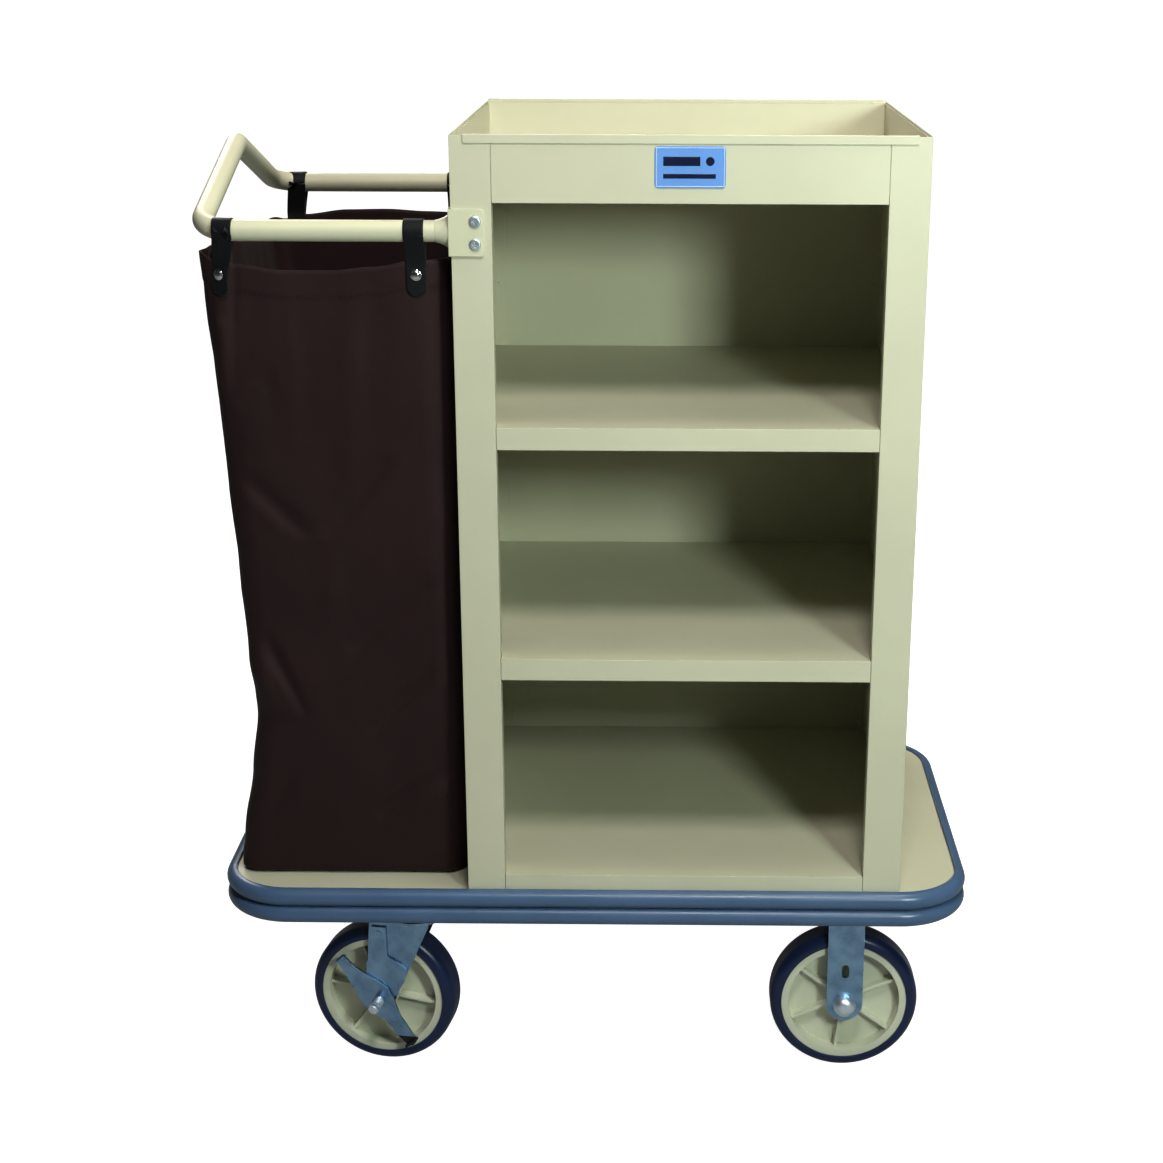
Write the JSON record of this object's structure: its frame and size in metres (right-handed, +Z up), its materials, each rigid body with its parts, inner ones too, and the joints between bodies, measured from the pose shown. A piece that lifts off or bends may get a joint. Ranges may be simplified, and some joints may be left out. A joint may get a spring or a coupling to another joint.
{
  "type": "housekeeping cart",
  "caption": "Open sheet-steel housekeeping cart with a top tray, shelves, a laundry bag hung from a tube handle, a bumpered deck and large casters.",
  "frame": {"origin": "on the floor under the middle of the deck (centre of the bounding box's bottom)", "axes": "+Z up; front (open side) faces -Y; the handle and bag are at the -X end"},
  "size_m": [1.028, 0.569, 1.297],
  "materials": {
    "cabinet_paint": "satin powder coat",
    "bumper_vinyl": "semi-gloss vinyl",
    "rivet_alloy": "satin",
    "fastener_steel": "bright zinc",
    "caster_zinc": "blue-white zinc plate",
    "nameplate_blue": "gloss",
    "bag_canvas": "coated woven nylon",
    "strap_webbing": "woven webbing",
    "snap_nickel": "polished",
    "hub_plastic": "moulded satin",
    "tyre_rubber": "smooth polyurethane"
  },
  "bodies": {
    "cart": {"deck": "cabinet_paint", "bumper": "bumper_vinyl", "caster_channel_left": "cabinet_paint", "caster_channel_right": "cabinet_paint", "left_side_panel": "cabinet_paint", "right_side_panel": "cabinet_paint", "back_panel": "cabinet_paint", "front_apron": "cabinet_paint", "top_tray": "cabinet_paint", "upper_shelf": "cabinet_paint", "lower_shelf": "cabinet_paint", "cabinet_floor": "cabinet_paint", "shelf_rivets": "rivet_alloy", "back_rivets": "rivet_alloy", "cabinet_bolts": "fastener_steel", "cabinet_nuts": "fastener_steel", "nameplate": "nameplate_blue", "handle_tube": "cabinet_paint", "handle_bracket_front": "cabinet_paint", "handle_bracket_rear": "cabinet_paint", "handle_screws": "fastener_steel", "handle_nuts": "fastener_steel", "laundry_bag": "bag_canvas", "bag_strap_left_front": "strap_webbing", "bag_strap_right_front": "strap_webbing", "bag_strap_left_rear": "strap_webbing", "bag_strap_right_rear": "strap_webbing", "strap_snaps": "snap_nickel", "caster_bolts": "fastener_steel", "caster_nuts": "fastener_steel", "rigid_fork_front": "caster_zinc", "rigid_fork_rear": "caster_zinc", "rigid_axle_bolts": "fastener_steel", "rigid_axle_domes": "fastener_steel", "rigid_bushings": "fastener_steel", "swivel_plates": "caster_zinc", "kingpins": "fastener_steel", "race_balls": "fastener_steel"},
    "caster_front": {"swivel_fork_front": "caster_zinc", "swivel_axle_front": "fastener_steel", "swivel_axle_nut_front": "fastener_steel", "swivel_bushing_front": "fastener_steel", "brake_plate_front": "caster_zinc", "brake_spring_front": "fastener_steel"},
    "caster_rear": {"swivel_fork_rear": "caster_zinc", "swivel_axle_rear": "fastener_steel", "swivel_axle_nut_rear": "fastener_steel", "swivel_bushing_rear": "fastener_steel", "brake_plate_rear": "caster_zinc", "brake_spring_rear": "fastener_steel"},
    "brake_front": {"brake_lever_front": "caster_zinc"},
    "brake_rear": {"brake_lever_rear": "caster_zinc"},
    "wheel_left_front": {"wheel_hub_left_front": "hub_plastic", "tyre_left_front": "tyre_rubber"},
    "wheel_left_rear": {"wheel_hub_left_rear": "hub_plastic", "tyre_left_rear": "tyre_rubber"},
    "wheel_right_front": {"wheel_hub_right_front": "hub_plastic", "tyre_right_front": "tyre_rubber"},
    "wheel_right_rear": {"wheel_hub_right_rear": "hub_plastic", "tyre_right_rear": "tyre_rubber"}
  },
  "joints": [
    {"name": "caster_front_swivel", "type": "hinge", "parent": "cart", "child": "caster_front", "pos_m": [-0.251, -0.2095, 0.225], "axis": [0, 0, 1], "continuous": true},
    {"name": "caster_rear_swivel", "type": "hinge", "parent": "cart", "child": "caster_rear", "pos_m": [-0.251, 0.2095, 0.225], "axis": [0, 0, 1], "continuous": true},
    {"name": "wheel_left_front_spin", "type": "hinge", "parent": "caster_front", "child": "wheel_left_front", "pos_m": [-0.2963, -0.20151, 0.103], "axis": [0.1736, 0.9848, 0], "continuous": true},
    {"name": "wheel_left_rear_spin", "type": "hinge", "parent": "caster_rear", "child": "wheel_left_rear", "pos_m": [-0.20545, 0.2159, 0.103], "axis": [0.1392, -0.9903, 0], "continuous": true},
    {"name": "wheel_right_front_spin", "type": "hinge", "parent": "cart", "child": "wheel_right_front", "pos_m": [0.348, -0.2095, 0.103], "axis": [0, 1, 0], "continuous": true},
    {"name": "wheel_right_rear_spin", "type": "hinge", "parent": "cart", "child": "wheel_right_rear", "pos_m": [0.348, 0.2095, 0.103], "axis": [0, 1, 0], "continuous": true},
    {"name": "brake_front_press", "type": "hinge", "parent": "caster_front", "child": "brake_front", "pos_m": [-0.2963, -0.20151, 0.103], "axis": [0.1736, 0.9848, 0], "range_deg": [0, 18]},
    {"name": "brake_rear_press", "type": "hinge", "parent": "caster_rear", "child": "brake_rear", "pos_m": [-0.20545, 0.2159, 0.103], "axis": [0.1392, -0.9903, 0], "range_deg": [0, 18]}
  ]
}
